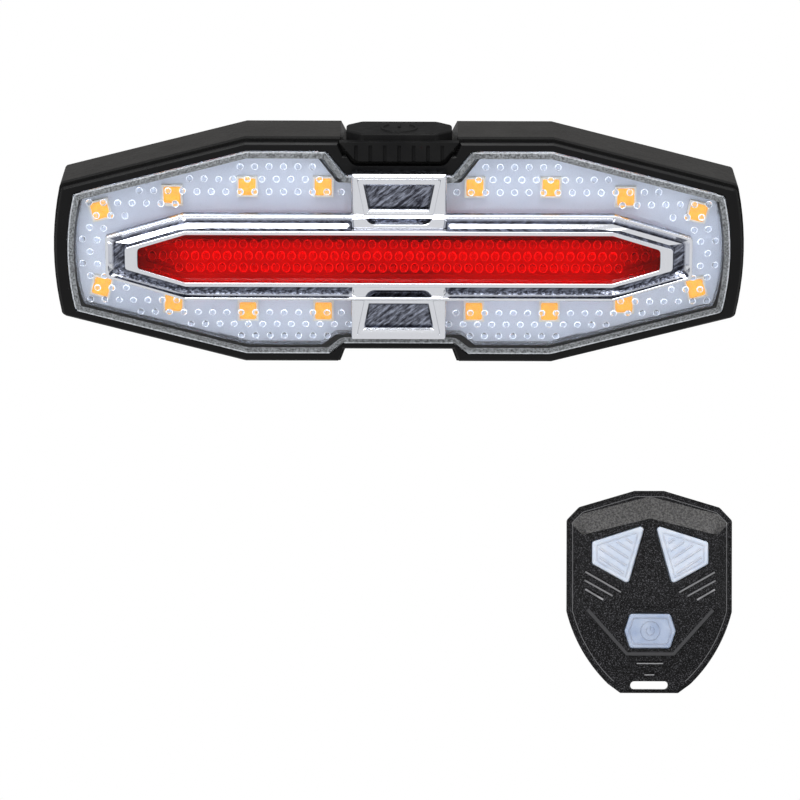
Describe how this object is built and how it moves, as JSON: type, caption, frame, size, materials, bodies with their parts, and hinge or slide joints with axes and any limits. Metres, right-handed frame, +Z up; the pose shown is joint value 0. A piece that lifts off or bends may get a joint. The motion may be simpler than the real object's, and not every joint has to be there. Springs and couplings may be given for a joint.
{
  "type": "bicycle turn signal light",
  "caption": "Rear turn signal and brake light for a bicycle, with a seat-post bracket, charging flap and a wireless handlebar remote.",
  "frame": {"origin": "on the axis of the seat post, level with the middle of the light", "axes": "+X to the rider's right along the light, +Y forwards from the lens towards the seat post, +Z up along the seat post"},
  "size_m": [0.1132, 0.0316, 0.096],
  "materials": {
    "black_gloss": "glossy black moulded plastic",
    "housing_black": "black nylon with a fine moulded grain",
    "clear_plastic": "clear polycarbonate with moulded pillow optics",
    "red_clear": "clear red acrylic",
    "chrome_plated": "bright plated plastic trim",
    "button_rubber": "black silicone rubber, satin",
    "seal_rubber": "matt black rubber",
    "seal_pale": "translucent grey silicone bead",
    "white_mask": "white coated circuit board",
    "board_green": "green coated circuit board",
    "amber_lamp": "yellow phosphor in a white frame",
    "red_lamp": "red lamp chips in a pale frame",
    "chip_black": "moulded black package",
    "steel": "plain bright steel",
    "steel_black": "black zinc coated steel",
    "cell_wrap": "silver laminate pouch",
    "foam_grey": "grey closed-cell foam",
    "spring_bronze": "plated spring bronze",
    "remote_black": "black satin plastic with a light grain",
    "key_rubber": "pale translucent silicone keys"
  },
  "bodies": {
    "bicycle_side": {"front_bezel": "black_gloss", "main_housing": "housing_black", "rear_cover": "housing_black", "cover_seal": "seal_rubber", "cover_screws": "steel_black", "clear_lens": "clear_plastic", "lens_seal": "seal_pale", "chrome_trim": "chrome_plated", "red_lens": "red_clear", "lamp_board": "white_mask", "amber_chips_left": "amber_lamp", "amber_chips_right": "amber_lamp", "red_chips": "red_lamp", "button_switch": "chip_black", "main_board": "board_green", "board_chips": "chip_black", "board_headers": "chip_black", "antenna_coil": "spring_bronze", "battery": "cell_wrap", "battery_foam": "foam_grey", "charge_socket": "steel", "post_bracket": "housing_black", "bracket_screws": "steel_black", "post_pad": "seal_rubber", "remote_front": "remote_black", "remote_rear": "remote_black", "remote_grips": "seal_rubber", "remote_board": "board_green", "dome_switches": "steel", "cell_contact": "spring_bronze", "cell_holder": "chip_black", "coin_cell": "steel", "remote_screws": "steel_black"},
    "button_body": {"power_button": "button_rubber", "button_stem": "chip_black", "switch_plunger": "chip_black"},
    "flap_body": {"charge_flap": "button_rubber"},
    "left_key_body": {"left_turn_button": "key_rubber"},
    "right_key_body": {"right_turn_button": "key_rubber"},
    "mode_key_body": {"mode_button": "key_rubber"},
    "door_body": {"battery_door": "remote_black", "door_seal": "seal_rubber"}
  },
  "joints": [
    {"name": "power_press", "type": "slide", "parent": "bicycle_side", "child": "button_body", "axis": [0, 0, -1], "range_m": [0, 0.0007], "stiffness_N_per_m": 3700},
    {"name": "charge_flap_hinge", "type": "hinge", "parent": "bicycle_side", "child": "flap_body", "pos_m": [0, -0.02, -0.01752], "axis": [1, 0, 0], "range_deg": [0, 110]},
    {"name": "left_key_press", "type": "slide", "parent": "bicycle_side", "child": "left_key_body", "axis": [0, 0.9511, -0.309], "range_m": [0, 0.0005], "stiffness_N_per_m": 4000},
    {"name": "right_key_press", "type": "slide", "parent": "bicycle_side", "child": "right_key_body", "axis": [0, 0.9511, -0.309], "range_m": [0, 0.0005], "stiffness_N_per_m": 4000},
    {"name": "mode_key_press", "type": "slide", "parent": "bicycle_side", "child": "mode_key_body", "axis": [0, 0.9511, -0.309], "range_m": [0, 0.0005], "stiffness_N_per_m": 4000},
    {"name": "battery_door_turn", "type": "hinge", "parent": "bicycle_side", "child": "door_body", "pos_m": [0.0423, -0.0245, -0.06065], "axis": [0, 0.9511, -0.309], "range_deg": [0, 40]}
  ]
}
